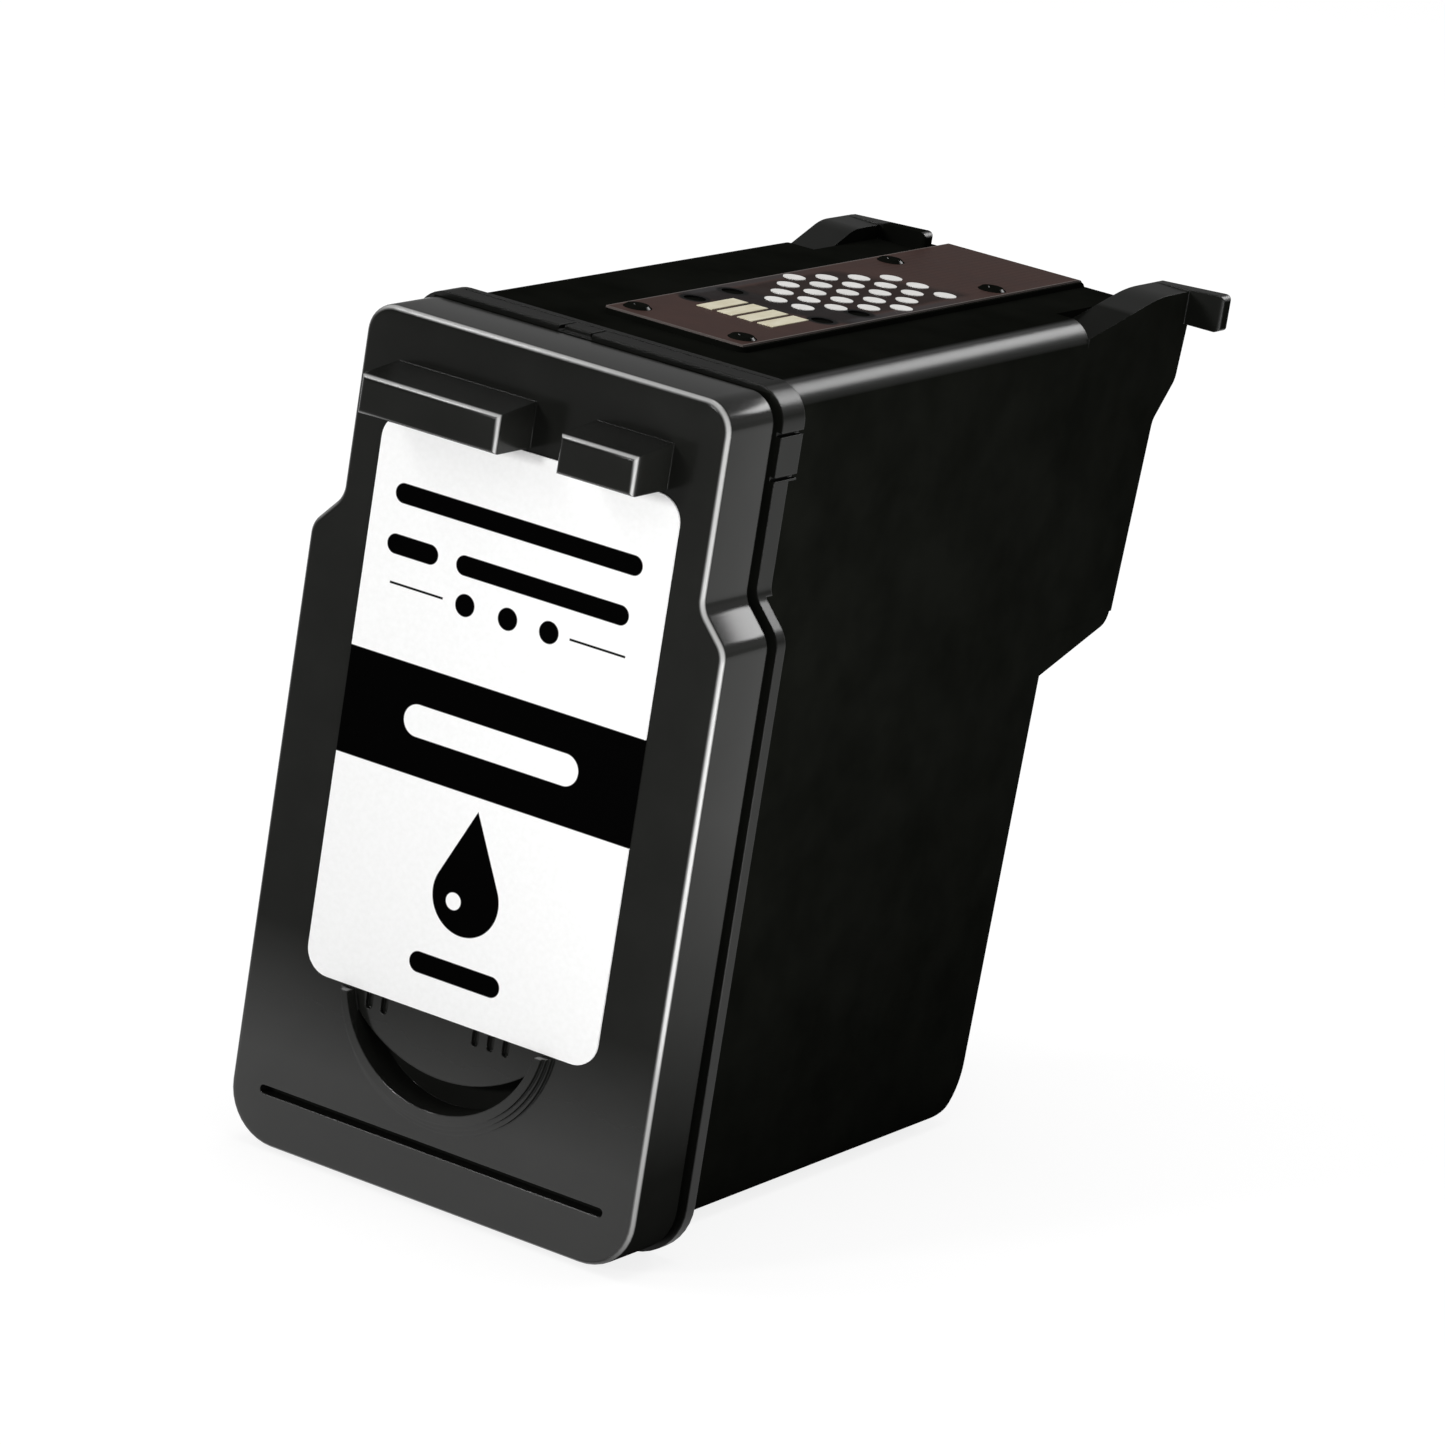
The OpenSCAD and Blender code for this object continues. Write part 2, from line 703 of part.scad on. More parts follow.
// Flange round the mouth, with the weld rim in front of it
module flange() {
    upper = shoulder_height + shoulder_rise;
    difference() {
        union() {
            // Weld rim
            pushed_back(cover_thickness, flange_gap + eps)
                polygon(cover_outline(rim_inset));
            // Lower part, thin
            pushed_back(flange_front, skirt_depth)
                polygon(cover_outline(-flange_proud));
            intersection() {
                pushed_back(flange_front, strip_depth)
                    polygon(cover_outline(-flange_proud));
                block([-cover_width, 0, upper], [cover_width, nose_depth, flange_top + 1]);
            }
            intersection() {
                pushed_back(flange_front, flange_depth)
                    polygon(cover_outline(-flange_proud));
                block([-cover_width, 0, lug_level], [cover_width, nose_depth, flange_top + 1]);
            }
        }
        // Slits above and below the side lugs
        for (side = [-1, 1], level = [lug_level + slit_width / 2, lug_level + lug_height])
            block([side * flange_half - slit_depth, cover_thickness, level],
                  [side * flange_half + slit_depth, nose_depth, level + slit_width]);
        // Slits beside the top tab, whose front is set back
        for (side = [-1, 1])
            block([tab_at + side * tab_width / 2 - slit_width / 2, cover_thickness, flange_top - slit_depth],
                  [tab_at + side * tab_width / 2 + slit_width / 2,
                   flange_front + strip_depth, flange_top + 1]);
        block([tab_at - tab_width / 2, cover_thickness, flange_top - slit_depth],
              [tab_at + tab_width / 2, flange_front + slit_width, flange_top + 1]);
        // Groove along the flange's top
        block([-cover_top_width / 2 + cover_top_radius, flange_front + strip_depth,
               flange_top - slit_width / 2],
              [cover_top_width / 2 - cover_top_radius, flange_front + strip_depth + slit_width,
               flange_top + 1]);
    }
}

// Room for the ink absorber, open at the mouth
module tank_cavity() {
    stretched_across(-cavity_half, 2 * cavity_half)
        polygon([[cover_thickness - 1, tank_wall], [far_foot - tank_wall, tank_wall],
                 [far_top - tank_wall, nose_level + tank_wall],
                 [nose_inner, nose_level + nose_rise + tank_wall],
                 [nose_inner, tank_top - tank_wall], [cover_thickness - 1, tank_top - tank_wall]]);
}

// Right ear with its ramp and cheek, as a side profile
function right_ear() =
    let (top = tank_top + right_hook_rise, back = right_hook_end - neck_setback)
    rounded([[right_ear_start, tank_top - ear_root], [right_ear_start, tank_top - ear_drop],
             [right_ear_end, top], [back, top], [back, top - hook_height],
             [back - neck_taper, cheek_level + waist_rise], [nose_depth + cheek_reach, cheek_level],
             [nose_depth, nose_level + nose_rise], [nose_inner, nose_level + nose_rise],
             [nose_inner, tank_top - ear_root]],
            [0, 0, right_ramp_round, 0, 0, waist_round, waist_round, 0, 0, 0]);

// Left ear with its ramp, as a side profile
function left_ear() =
    let (top = tank_top + left_hook_rise)
    rounded([[left_ear_start, tank_top - ear_root], [left_ear_start, tank_top - ear_drop],
             [left_ear_end, top], [left_hook_end, top], [left_hook_end, tank_top - ear_root]],
            [0, 0, left_ramp_round, hook_edge, 0]);

// Hook bar between two places across, with its far top edge at the given depth and height
module hook_bar(x0, x1, end, top) {
    near = end - hook_thickness;
    low = top - hook_height;
    intersection() {
        pushed_back(near, hook_thickness)
            polygon(rounded([[x0, low], [x1, low], [x1, top + hook_rise], [x0, top]],
                            [0, hook_corner, hook_corner, 0]));
        translate([0, 0, low - 1])
            linear_extrude(hook_height + 2)
                polygon(rounded([[x0, near], [x1, near], [x1, end], [x0, end]],
                                [0, hook_edge, hook_edge, 0]));
    }
}

module ears() {
    intersection() {
        union() {
            stretched_across(ear_inner, ear_thickness)
                polygon(right_ear());
            stretched_across(-tank_half, ear_thickness)
                polygon(left_ear());
            // Left cheek beside the nozzle face
            stretched_across(-tank_half, ear_thickness)
                polygon([[nose_inner, nose_level + nose_rise], [nose_depth, nose_level + nose_rise],
                         [nose_depth + cheek_reach, cheek_level], [nose_depth, cheek_level + waist_rise],
                         [nose_inner, cheek_level + waist_rise]]);
        }
        drafted()
            translate([-tank_half, 0])
                square([tank_width, 2 * tank_top]);
    }
    // Bars, both to the same side
    hook_bar(ear_inner, tank_half + right_bar_reach, right_hook_end, tank_top + right_hook_rise);
    hook_bar(-tank_half + tank_draft, -ear_inner + left_bar_reach, left_hook_end,
             tank_top + left_hook_rise);
}

// Places of the four heat stakes
stake_places = [for (side = [-1, 1], y = [tape_start + stake_start, nose_depth - stake_setback])
    [plateau_at + side * stake_span / 2, y]];

// Places of the tape's tooling holes
tooling_places = [for (step = [0, 1], first = [[-1, tooling_left], [1, tooling_right]])
    [plateau_at + first.x * tooling_span / 2, tape_start + first.y + step * tooling_step]];

// Mushroom head of a heat stake
module stake_head() {
    rotate_extrude($fn = fine_fn)
        polygon([[0, -1], [stake_radius, -1], [stake_radius, tape_thickness],
                 [stake_radius * head_crown, tape_thickness + stake_rise],
                 [stake_radius * head_dimple, tape_thickness + stake_rise],
                 [stake_radius * head_floor, tape_thickness + stake_rise / 2],
                 [0, tape_thickness + stake_rise / 2]]);
}

module tank_body() {
    color(black_plastic)
        placed() {
            difference() {
                union() {
                    difference() {
                        tank_block();
                        // The edges drop where the ears start
                        block([ear_inner, right_ear_start, tank_top - ear_root],
                              [tank_half + 1, nose_depth + 1, tank_top + 1]);
                        block([-tank_half - 1, left_ear_start, tank_top - ear_root],
                              [-ear_inner, left_hook_end, tank_top + 1]);
                    }
                    ears();
                    flange();
                    // Plateau under the wiring tape
                    translate([0, 0, tank_top - 1])
                        linear_extrude(1 + plateau_rise)
                            polygon(rounded([[plateau_at - plateau_width / 2, plateau_start],
                                             [plateau_at + plateau_width / 2, plateau_start],
                                             [plateau_at + plateau_width / 2, nose_depth - tape_bend],
                                             [plateau_at - plateau_width / 2, nose_depth - tape_bend]],
                                            [plateau_radius, plateau_radius, 0, 0]));
                    // Rounded nose of the plateau, which the tape bends over
                    stretched_across(plateau_at - plateau_width / 2, plateau_width)
                        polygon(rounded([[nose_depth - 3 * tape_bend, tank_top - 1],
                                         [nose_depth, tank_top - 1],
                                         [nose_depth, plateau_top],
                                         [nose_depth - 3 * tape_bend, plateau_top]],
                                        [0, 0, tape_bend, 0]));
                }
                tank_cavity();
                // Seat of the nozzle chip
                block([plateau_at - chip_width / 2 - chip_gap, chip_floor, chip_level - chip_length / 2 - chip_gap],
                      [plateau_at + chip_width / 2 + chip_gap, nose_depth + 1,
                       chip_level + chip_length / 2 + chip_gap]);
                // Ink slot behind the chip
                block([plateau_at - feed_width / 2, nose_inner - eps, chip_level - feed_length / 2],
                      [plateau_at + feed_width / 2, chip_floor + eps, chip_level + feed_length / 2]);
                // Bore of the standpipe through the nose wall
                translate([plateau_at, nose_inner - 1, chip_level])
                    rotate([-90, 0, 0])
                        cylinder(r = pipe_radius - pipe_wall, h = 3, $fn = fine_fn);
            }
            // Standpipe
            difference() {
                translate([plateau_at, pipe_front, chip_level])
                    rotate([-90, 0, 0])
                        cylinder(r = pipe_radius, h = nose_inner - pipe_front + eps, $fn = fine_fn);
                translate([plateau_at, pipe_front - 1, chip_level])
                    rotate([-90, 0, 0])
                        cylinder(r = pipe_radius - pipe_wall, h = nose_inner - pipe_front + 2, $fn = fine_fn);
            }
            for (p = stake_places)
                translate([p.x, p.y, plateau_top])
                    stake_head();
        }
}

module ink_absorber() {
    gap = absorber_gap;
    half = cavity_half - gap;
    low = tank_wall + gap;
    high = tank_top - tank_wall - gap;
    back = pipe_front - filter_thickness;
    color(fibre_grey)
        placed()
            stretched_across(-half, 2 * half)
                polygon([[absorber_front, low], [far_foot - tank_wall - gap, low],
                         [back, nose_level + tank_wall], [back, high], [absorber_front, high]]);
}

module outlet_filter() {
    color(steel)
        placed()
            translate([plateau_at, pipe_front - filter_thickness, chip_level])
                rotate([-90, 0, 0])
                    cylinder(r = pipe_radius - pipe_wall + filter_seat, h = filter_thickness, $fn = 2 * fine_fn);
}

// Tape profile from its near end over the bend to its lower end
function tape_side() =
    let (outer = tape_bend + tape_thickness, y = nose_depth - tape_bend, z = plateau_top - tape_bend, n = arc_steps)
    concat(
        [[tape_start, plateau_top]],
        [for (k = [0:n]) [y + tape_bend * sin(90 * k / n), z + tape_bend * cos(90 * k / n)]],
        [[nose_depth, tape_end], [nose_depth + tape_thickness, tape_end]],
        [for (k = [n:-1:0]) [y + outer * sin(90 * k / n), z + outer * cos(90 * k / n)]],
        [[tape_start, tape_top]]);

module wiring_tape() {
    window_half = chip_width / 2 + chip_gap;
    color(tape_brown)
        placed()
            difference() {
                stretched_across(plateau_at - tape_width / 2, tape_width)
                    polygon(tape_side());
                // Holes for the heat stakes
                for (p = stake_places)
                    translate([p.x, p.y, plateau_top - 1])
                        cylinder(r = stake_radius + stake_gap, h = 2, $fn = fine_fn);
                for (p = tooling_places)
                    translate([p.x, p.y, plateau_top - 1])
                        cylinder(r = tooling_radius, h = 2, $fn = 24);
                // Window round the nozzle chip
                block([plateau_at - window_half, nose_depth - 1, chip_level - chip_length / 2 - chip_gap],
                      [plateau_at + window_half, nose_depth + 1, chip_level + chip_length / 2 + chip_gap]);
            }
}

// Slanted grid of the round contacts: step i runs one way, step j the other
pad_places = concat(
    [for (j = [0:4], i = [0:4])
        if (!(j == 0 && i == 4) && !(j == 4 && i == 0))
            [pad_first_across + pad_step_across * (i + j), pad_first_along + pad_step_along * (i - j)]],
    [[lone_pad_across, nose_depth - stake_setback - lone_pad_setback - tape_start]]);

module round_contacts() {
    color(pad_ivory)
        placed()
            for (p = pad_places)
                translate([plateau_at + p.x, tape_start + p.y, tape_top])
                    cylinder(r = pad_radius, h = pad_thickness, $fn = pad_fn);
}

module bar_contacts() {
    color(pad_gold)
        placed()
            for (k = [0:bar_count - 1])
                translate([plateau_at + bars_across + (k - (bar_count - 1) / 2) * bar_pitch - bar_width / 2,
                           tape_start + bars_along - bar_length / 2, tape_top])
                    cube([bar_width, bar_length, pad_thickness]);
}

module nozzle_chip() {
    color(silicon)
        placed()
            difference() {
                block([plateau_at - chip_width / 2, chip_floor, chip_level - chip_length / 2],
                      [plateau_at + chip_width / 2, chip_floor + chip_thickness, chip_level + chip_length / 2]);
                // Ink slot through the chip
                block([plateau_at - feed_width / 4, chip_floor - 1, chip_level - feed_length / 2],
                      [plateau_at + feed_width / 4, nose_depth + 1, chip_level + feed_length / 2]);
            }
}

module nozzle_plate() {
    color(nozzle_amber)
        placed()
            difference() {
                block([plateau_at - chip_width / 2, nose_depth, chip_level - chip_length / 2 + nozzle_inset],
                      [plateau_at + chip_width / 2, nose_depth + nozzle_thickness,
                       chip_level + chip_length / 2 - nozzle_inset]);
                // Fine grooves stand for the two rows of nozzles
                for (side = [-1, 1])
                    block([plateau_at + side * nozzle_rows / 2 - nozzle_thickness, nose_depth + nozzle_thickness / 2,
                           chip_level - feed_length / 2],
                          [plateau_at + side * nozzle_rows / 2 + nozzle_thickness, nose_depth + 1,
                           chip_level + feed_length / 2]);
            }
}

// Beads over the leads at both ends of the chip
module lead_sealant() {
    color(sealant_black)
        placed()
            for (side = [-1, 1])
                intersection() {
                    translate([plateau_at - chip_width / 2 - chip_gap, nose_depth + tape_thickness,
                               chip_level + side * (chip_length / 2 + chip_gap)])
                        rotate([0, 90, 0])
                            cylinder(r = bead_radius, h = chip_width + 2 * chip_gap, $fn = fine_fn);
                    block([-tank_half, nose_depth + tape_thickness, nose_level],
                          [tank_half, nose_depth + 2, tank_top]);
                }
}

tank_body();
front_cover();
cover_label();
ink_absorber();
outlet_filter();
wiring_tape();
round_contacts();
bar_contacts();
nozzle_chip();
nozzle_plate();
lead_sealant();
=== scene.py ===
import math

import bpy
from mathutils import Matrix, Vector


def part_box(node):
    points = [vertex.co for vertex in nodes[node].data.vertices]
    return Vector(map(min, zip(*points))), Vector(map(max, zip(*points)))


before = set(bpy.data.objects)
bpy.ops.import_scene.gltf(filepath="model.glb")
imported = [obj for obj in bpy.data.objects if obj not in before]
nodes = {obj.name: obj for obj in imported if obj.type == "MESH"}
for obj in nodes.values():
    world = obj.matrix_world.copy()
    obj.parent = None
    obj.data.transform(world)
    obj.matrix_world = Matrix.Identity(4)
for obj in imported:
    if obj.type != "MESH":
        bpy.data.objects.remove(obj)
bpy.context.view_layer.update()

MM = 0.001
# Height of the label's lower edge over the tank's underside
LABEL_FOOT = 14.1 * MM
# The label's back lies on the cover's front face
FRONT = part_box("cover_label")[1][1]
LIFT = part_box("cover_label")[0][2] - LABEL_FOOT

# Width that a drawn edge takes to fade, and the radius that breaks a sharp edge
FADE = 0.03
BROKEN_EDGE = 0.15 * MM
BEVEL_SAMPLES = 4

scene = bpy.context.scene
scene.view_settings.view_transform = "Standard"


# Shaders
class Graph:
    """A small builder for one material's nodes."""

    def __init__(self, name):
        self.mat = bpy.data.materials.new(name)
        self.mat.use_nodes = True
        self.tree = self.mat.node_tree
        self.tree.nodes.clear()
        self.out = self.tree.nodes.new("ShaderNodeOutputMaterial")
        self.coord = None

    def node(self, kind, **values):
        made = self.tree.nodes.new(kind)
        for key, value in values.items():
            setattr(made, key, value)
        return made

    def link(self, source, target):
        self.tree.links.new(source, target)

    def feed(self, socket, value):
        """Links a socket to another one, or sets it to a number or a colour."""
        if isinstance(value, bpy.types.NodeSocket):
            self.link(value, socket)
        elif isinstance(value, tuple):
            socket.default_value = (*value, 1.0)
        else:
            socket.default_value = value

    def position(self):
        if self.coord is None:
            self.coord = self.node("ShaderNodeTexCoord").outputs["Object"]
        return self.coord

    def math(self, operation, a, b=0.0, clamp=False):
        made = self.node("ShaderNodeMath", operation=operation, use_clamp=clamp)
        for socket, value in zip(made.inputs, (a, b)):
            self.feed(socket, value)
        return made.outputs[0]

    def add(self, a, b):
        return self.math("ADD", a, b)

    def take(self, a, b):
        return self.math("SUBTRACT", a, b)

    def times(self, *values):
        result = values[0]
        for value in values[1:]:
            result = self.math("MULTIPLY", result, value)
        return result

    def size(self, value):
        return self.math("ABSOLUTE", value)

    def inverse(self, share):
        return self.take(1.0, share)

    def most(self, *values):
        result = values[0]
        for value in values[1:]:
            result = self.math("MAXIMUM", result, value)
        return result

    def millimetres(self):
        """X, the depth behind the cover's front face and the height over the tank's underside."""
        parts = self.node("ShaderNodeSeparateXYZ")
        self.link(self.position(), parts.inputs[0])
        x, y, z = parts.outputs
        depth = self.times(self.take(y, FRONT), 1 / MM)
        height = self.times(self.take(z, LIFT), 1 / MM)
        return self.times(x, 1 / MM), depth, height

    def facing(self):
        """The normal's share along each axis."""
        parts = self.node("ShaderNodeSeparateXYZ")
        self.link(self.node("ShaderNodeTexCoord").outputs["Normal"], parts.inputs[0])
        return tuple(parts.outputs)

    def noise(self, scale, detail=2.0, roughness=0.5, stretch=None):
        made = self.node("ShaderNodeTexNoise")
        source = self.position()
        if stretch:
            mapping = self.node("ShaderNodeMapping")
            self.link(source, mapping.inputs["Vector"])
            mapping.inputs["Scale"].default_value = stretch
            source = mapping.outputs[0]
        self.link(source, made.inputs["Vector"])
        self.feed(made.inputs["Scale"], scale)
        self.feed(made.inputs["Detail"], detail)
        self.feed(made.inputs["Roughness"], roughness)
        return made.outputs["Fac"]

    def spread(self, value, low, high, to_low, to_high):
        """Maps low to to_low and high to to_high, and stays there beyond them."""
        made = self.node("ShaderNodeMapRange")
        self.feed(made.inputs["Value"], value)
        self.feed(made.inputs["From Min"], low)
        self.feed(made.inputs["From Max"], high)
        self.feed(made.inputs["To Min"], to_low)
        self.feed(made.inputs["To Max"], to_high)
        return made.outputs[0]

    def rise(self, value, low, high):
        return self.spread(value, low, high, 0.0, 1.0)

    def fall(self, value, low, high):
        return self.spread(value, low, high, 1.0, 0.0)

    def band(self, value, rise, fall):
        """1 between the end of the rise and the start of the fall, 0 outside them."""
        return self.times(self.rise(value, *rise), self.fall(value, *fall))

    def mix(self, share, a, b):
        made = self.node("ShaderNodeMix", data_type="RGBA")
        self.feed(made.inputs["Factor"], share)
        first, second = [socket for socket in made.inputs if socket.type == "RGBA"]
        self.feed(first, a)
        self.feed(second, b)
        return next(socket for socket in made.outputs if socket.type == "RGBA")

    def bump(self, height, strength, distance):
        made = self.node("ShaderNodeBump")
        self.feed(made.inputs["Height"], height)
        self.feed(made.inputs["Strength"], strength)
        self.feed(made.inputs["Distance"], distance)
        return made.outputs[0]

    def surface(self, color, roughness, normal, coat=None, **constants):
        made = self.node("ShaderNodeBsdfPrincipled")
        self.feed(made.inputs["Base Color"], color)
        self.feed(made.inputs["Roughness"], roughness)
        if normal is not None:
            self.link(normal, made.inputs["Normal"])
        if coat is not None:
            broken = self.node("ShaderNodeBevel", samples=BEVEL_SAMPLES)
            self.feed(broken.inputs["Radius"], BROKEN_EDGE)
            self.link(coat, made.inputs["Coat Weight"])
            self.link(broken.outputs[0], made.inputs["Coat Normal"])
        for key, value in constants.items():
            made.inputs[key.replace("_", " ")].default_value = value
        self.link(made.outputs[0], self.out.inputs[0])
        return self.mat

    def length(self, a, b):
        return self.math("SQRT", self.add(self.times(a, a), self.times(b, b)))

    def disc(self, a, b, at, radius, soft=FADE):
        """1 inside a disc."""
        away = self.length(self.take(a, at[0]), self.take(b, at[1]))
        return self.fall(away, radius - soft, radius + soft)

    def bar(self, a, b, low, high, radius, soft=FADE):
        """1 inside a rectangle with rounded corners, from its low corner to its high one."""
        radius = max(radius, soft)
        away = []
        for value, v0, v1 in ((a, low[0], high[0]), (b, low[1], high[1])):
            off = self.size(self.take(value, (v0 + v1) / 2))
            away.append(self.most(self.take(off, (v1 - v0) / 2 - radius), 0.0))
        return self.fall(self.length(*away), radius - soft, radius + soft)

    def drop(self, a, b, at, radius, height, soft=FADE):
        """1 inside an ink drop: a disc whose two tangents meet in a point above it."""
        slope = radius / math.sqrt(height * height - radius * radius)
        edge = self.times(self.take(at[1] + height, b), slope)
        inside = self.fall(self.take(self.size(self.take(a, at[0])), edge), -soft, soft)
        above = self.math("GREATER_THAN", b, at[1] + radius * radius / height)
        return self.most(self.times(inside, above), self.disc(a, b, at, radius, soft))


# Most noise keeps between the first two values, and fine noise between the last two
LOW = 0.3
HIGH = 0.7
FINE_LOW = 0.35
FINE_HIGH = 0.65

# Plastic
GRAIN_DEPTH = 0.04 * MM
PLASTIC_ROUGHNESS = (0.5, 0.6)
# Pale grey painted on rounded edges as a highlight
PAINTED_HIGHLIGHT_GREY = (0.40, 0.40, 0.395)


def moulding(g, dark, light, grain, shine, coat_roughness, painted_highlight=None):
    """Grained moulded plastic with faint cloudiness, glossy where the mould was polished."""
    cloud = g.noise(180.0, detail=3.0, roughness=0.55)
    fine = g.noise(5200.0, roughness=0.6)
    patches = g.noise(900.0, detail=3.0, roughness=0.6)
    color = g.mix(g.rise(cloud, LOW, HIGH), dark, light)
    # Painted highlight: the given mask mixes a pale grey into the colour
    if painted_highlight is not None:
        color = g.mix(painted_highlight, color, PAINTED_HIGHLIGHT_GREY)
    rough = g.spread(patches, LOW, HIGH, *PLASTIC_ROUGHNESS)
    normal = g.bump(fine, grain, GRAIN_DEPTH)
    return g.surface(color, rough, normal, shine, Specular_IOR_Level=0.0, Coat_Roughness=coat_roughness)


def cover_plastic():
    """The cover's front is grained, its rounded edges, blocks and rim are smoother."""
    front_share = 0.15
    side_share = 0.60
    g = Graph("cover_plastic")
    _, depth, z = g.millimetres()
    nx, ny, nz = g.facing()
    away = g.size(ny)
    flat = g.rise(away, 0.85, 0.97)
    # The front is smoother at its foot, the sides are smoother at their top
    front = g.times(g.spread(z, 17.0, 7.0, front_share, 1.0), g.fall(depth, 0.2, 0.5))
    side = g.spread(z, 7.0, 34.0, 0.0, side_share)
    upward = g.rise(nz, 0.2, 0.8)
    around = g.add(g.times(side, g.inverse(upward)), upward)
    around = g.most(around, g.band(nz, (0.15, 0.40), (0.90, 0.99)))
    shine = g.add(g.times(flat, front), g.times(g.inverse(flat), around))
    # Painted highlight on the rounded edges round the front and the blocks, paler towards the upper
    # right where the light falls
    edge = g.times(g.band(away, (0.25, 0.50), (0.80, 0.96)), g.fall(depth, 0.6, 0.8))
    light_lean = g.add(g.times(nx, 0.8), nz)
    painted_highlight = g.times(edge, g.spread(light_lean, -0.2, 0.5, 0.03, 1.0))
    dark = (0.0085, 0.0088, 0.0078)
    light = (0.0110, 0.0113, 0.0102)
    return moulding(g, dark, light, 0.03, g.most(shine, edge), 0.16, painted_highlight)


def tank_plastic():
    """The tank is grained, its long rounded edges, flange and ears are smoother."""
    flange_back = (9.55, 9.60)
    flange_out = (14.55, 14.65)
    flange_over = (64.15, 64.20)
    ear_front = (46.0, 47.5)
    ear_foot = (61.0, 62.0)
    ear_inside = (10.2, 10.4)
    tank_roof = (64.15, 64.30)
    flange_share = 0.42
    ear_share = 0.55
    g = Graph("tank_plastic")
    x, depth, z = g.millimetres()
    nx, ny, nz = g.facing()
    aside = g.size(x)
    edge = g.times(g.band(nz, (0.20, 0.45), (0.95, 0.995)), g.fall(g.size(ny), 0.1, 0.2))
    proud = g.most(g.rise(aside, *flange_out), g.rise(z, *flange_over))
    flange = g.times(g.fall(depth, *flange_back), proud, flange_share)
    outer = g.times(g.rise(aside, *ear_inside), g.fall(g.size(nx), 0.7, 0.9))
    roof = g.times(g.rise(nz, 0.96, 0.99), g.fall(z, *tank_roof))
    ears = g.times(g.rise(depth, *ear_front), g.rise(z, *ear_foot), outer, g.inverse(roof), ear_share)
    dark = (0.0040, 0.0043, 0.0035)
    light = (0.0065, 0.0069, 0.0057)
    return moulding(g, dark, light, 0.05, g.most(edge, flange, ears), 0.28)


# Plain shapes on the label, in millimetres: two corners and a corner radius, or a place and a radius
BLACK_BARS = (
    ((-11.0, 50.4), (10.5, 51.9), 0.75),
    ((-11.1, 46.6), (-6.6, 48.1), 0.75),
    ((-5.0, 46.6), (10.0, 48.1), 0.75),
    ((-10.4, 44.40), (-5.7, 44.58), 0.0),
    ((5.4, 44.40), (10.2, 44.58), 0.0),
    ((-14.0, 31.0), (14.0, 39.1), 0.0),
    ((-4.0, 16.8), (4.0, 18.4), 0.8),
)
BLACK_DOTS = (((-3.75, 44.5), 0.84), ((0.0, 44.5), 0.84), ((3.6, 44.5), 0.84))
BLACK_DROP = ((0.0, 23.4), 2.9, 6.6)
WHITE_BAR = ((-7.5, 33.9), (7.8, 36.3), 1.2)
WHITE_DOT = ((-1.0, 22.9), 0.65)
PAPER_DARK = (0.915, 0.915, 0.910)
PAPER_LIGHT = (0.945, 0.945, 0.942)
INK_BLACK = (0.0012, 0.0012, 0.0012)


def label_print():
    """White paper with plain shapes in black where a label carries its print."""
    g = Graph("label_print")
    x, _, z = g.millimetres()
    black = g.most(
        *(g.bar(x, z, *shape) for shape in BLACK_BARS),
        *(g.disc(x, z, *shape) for shape in BLACK_DOTS),
        g.drop(x, z, *BLACK_DROP),
    )
    white = g.most(g.bar(x, z, *WHITE_BAR), g.disc(x, z, *WHITE_DOT))
    ink = g.math("MULTIPLY", black, g.inverse(white), clamp=True)
    pulp = g.noise(2600.0, detail=4.0, roughness=0.6)
    paper = g.mix(g.rise(pulp, FINE_LOW, FINE_HIGH), PAPER_DARK, PAPER_LIGHT)
    color = g.mix(ink, paper, INK_BLACK)
    rough = g.spread(ink, 0.0, 1.0, 0.60, 0.50)
    return g.surface(color, rough, g.bump(pulp, 0.05, 0.02 * MM), Specular_IOR_Level=0.0)


# Tape, in millimetres: its middle across, its start, and places from these
TAPE_MIDDLE = 0.35
TAPE_START = 15.65
TAPE_RIM = (5.86, 5.92)
TAPE_END = (0.06, 0.12)
TRACK_PITCH = 0.56
TRACK_START = (33.0, 36.0)
TRACK_SIDE = (5.0, 5.3)
# The field, the belt and the side strips run slantwise over the tape
SLANT = 0.49
FIELD = ((16.0, 17.2), (31.0, 32.6))
FIELD_SIDE = (4.6, 5.1)
BELT = ((11.2, 12.4), (16.6, 18.0))
STRIPS = ((12.0, 14.0), (26.0, 31.0))
STRIP_SIDE = (4.9, 5.3)
TOOLING_HOLES = ((-4.3, 9.4), (-4.3, 14.6), (4.3, 13.6), (4.3, 18.8))
HOLE_RADIUS = 1.22
HOLE_FADE = 0.12
FILM_DARK = (0.050, 0.028, 0.024)
FILM_LIGHT = (0.062, 0.036, 0.031)
TRACK_BROWN = (0.030, 0.018, 0.016)
FIELD_BROWN = (0.012, 0.008, 0.007)
BELT_GREY = (0.010, 0.0095, 0.010)
STRIP_GREY = (0.040, 0.038, 0.040)
HOLE_BLACK = (0.004, 0.004, 0.004)
# Pale colour painted along the film's edges as a highlight
PAINTED_EDGE_HIGHLIGHT = (0.22, 0.20, 0.19)


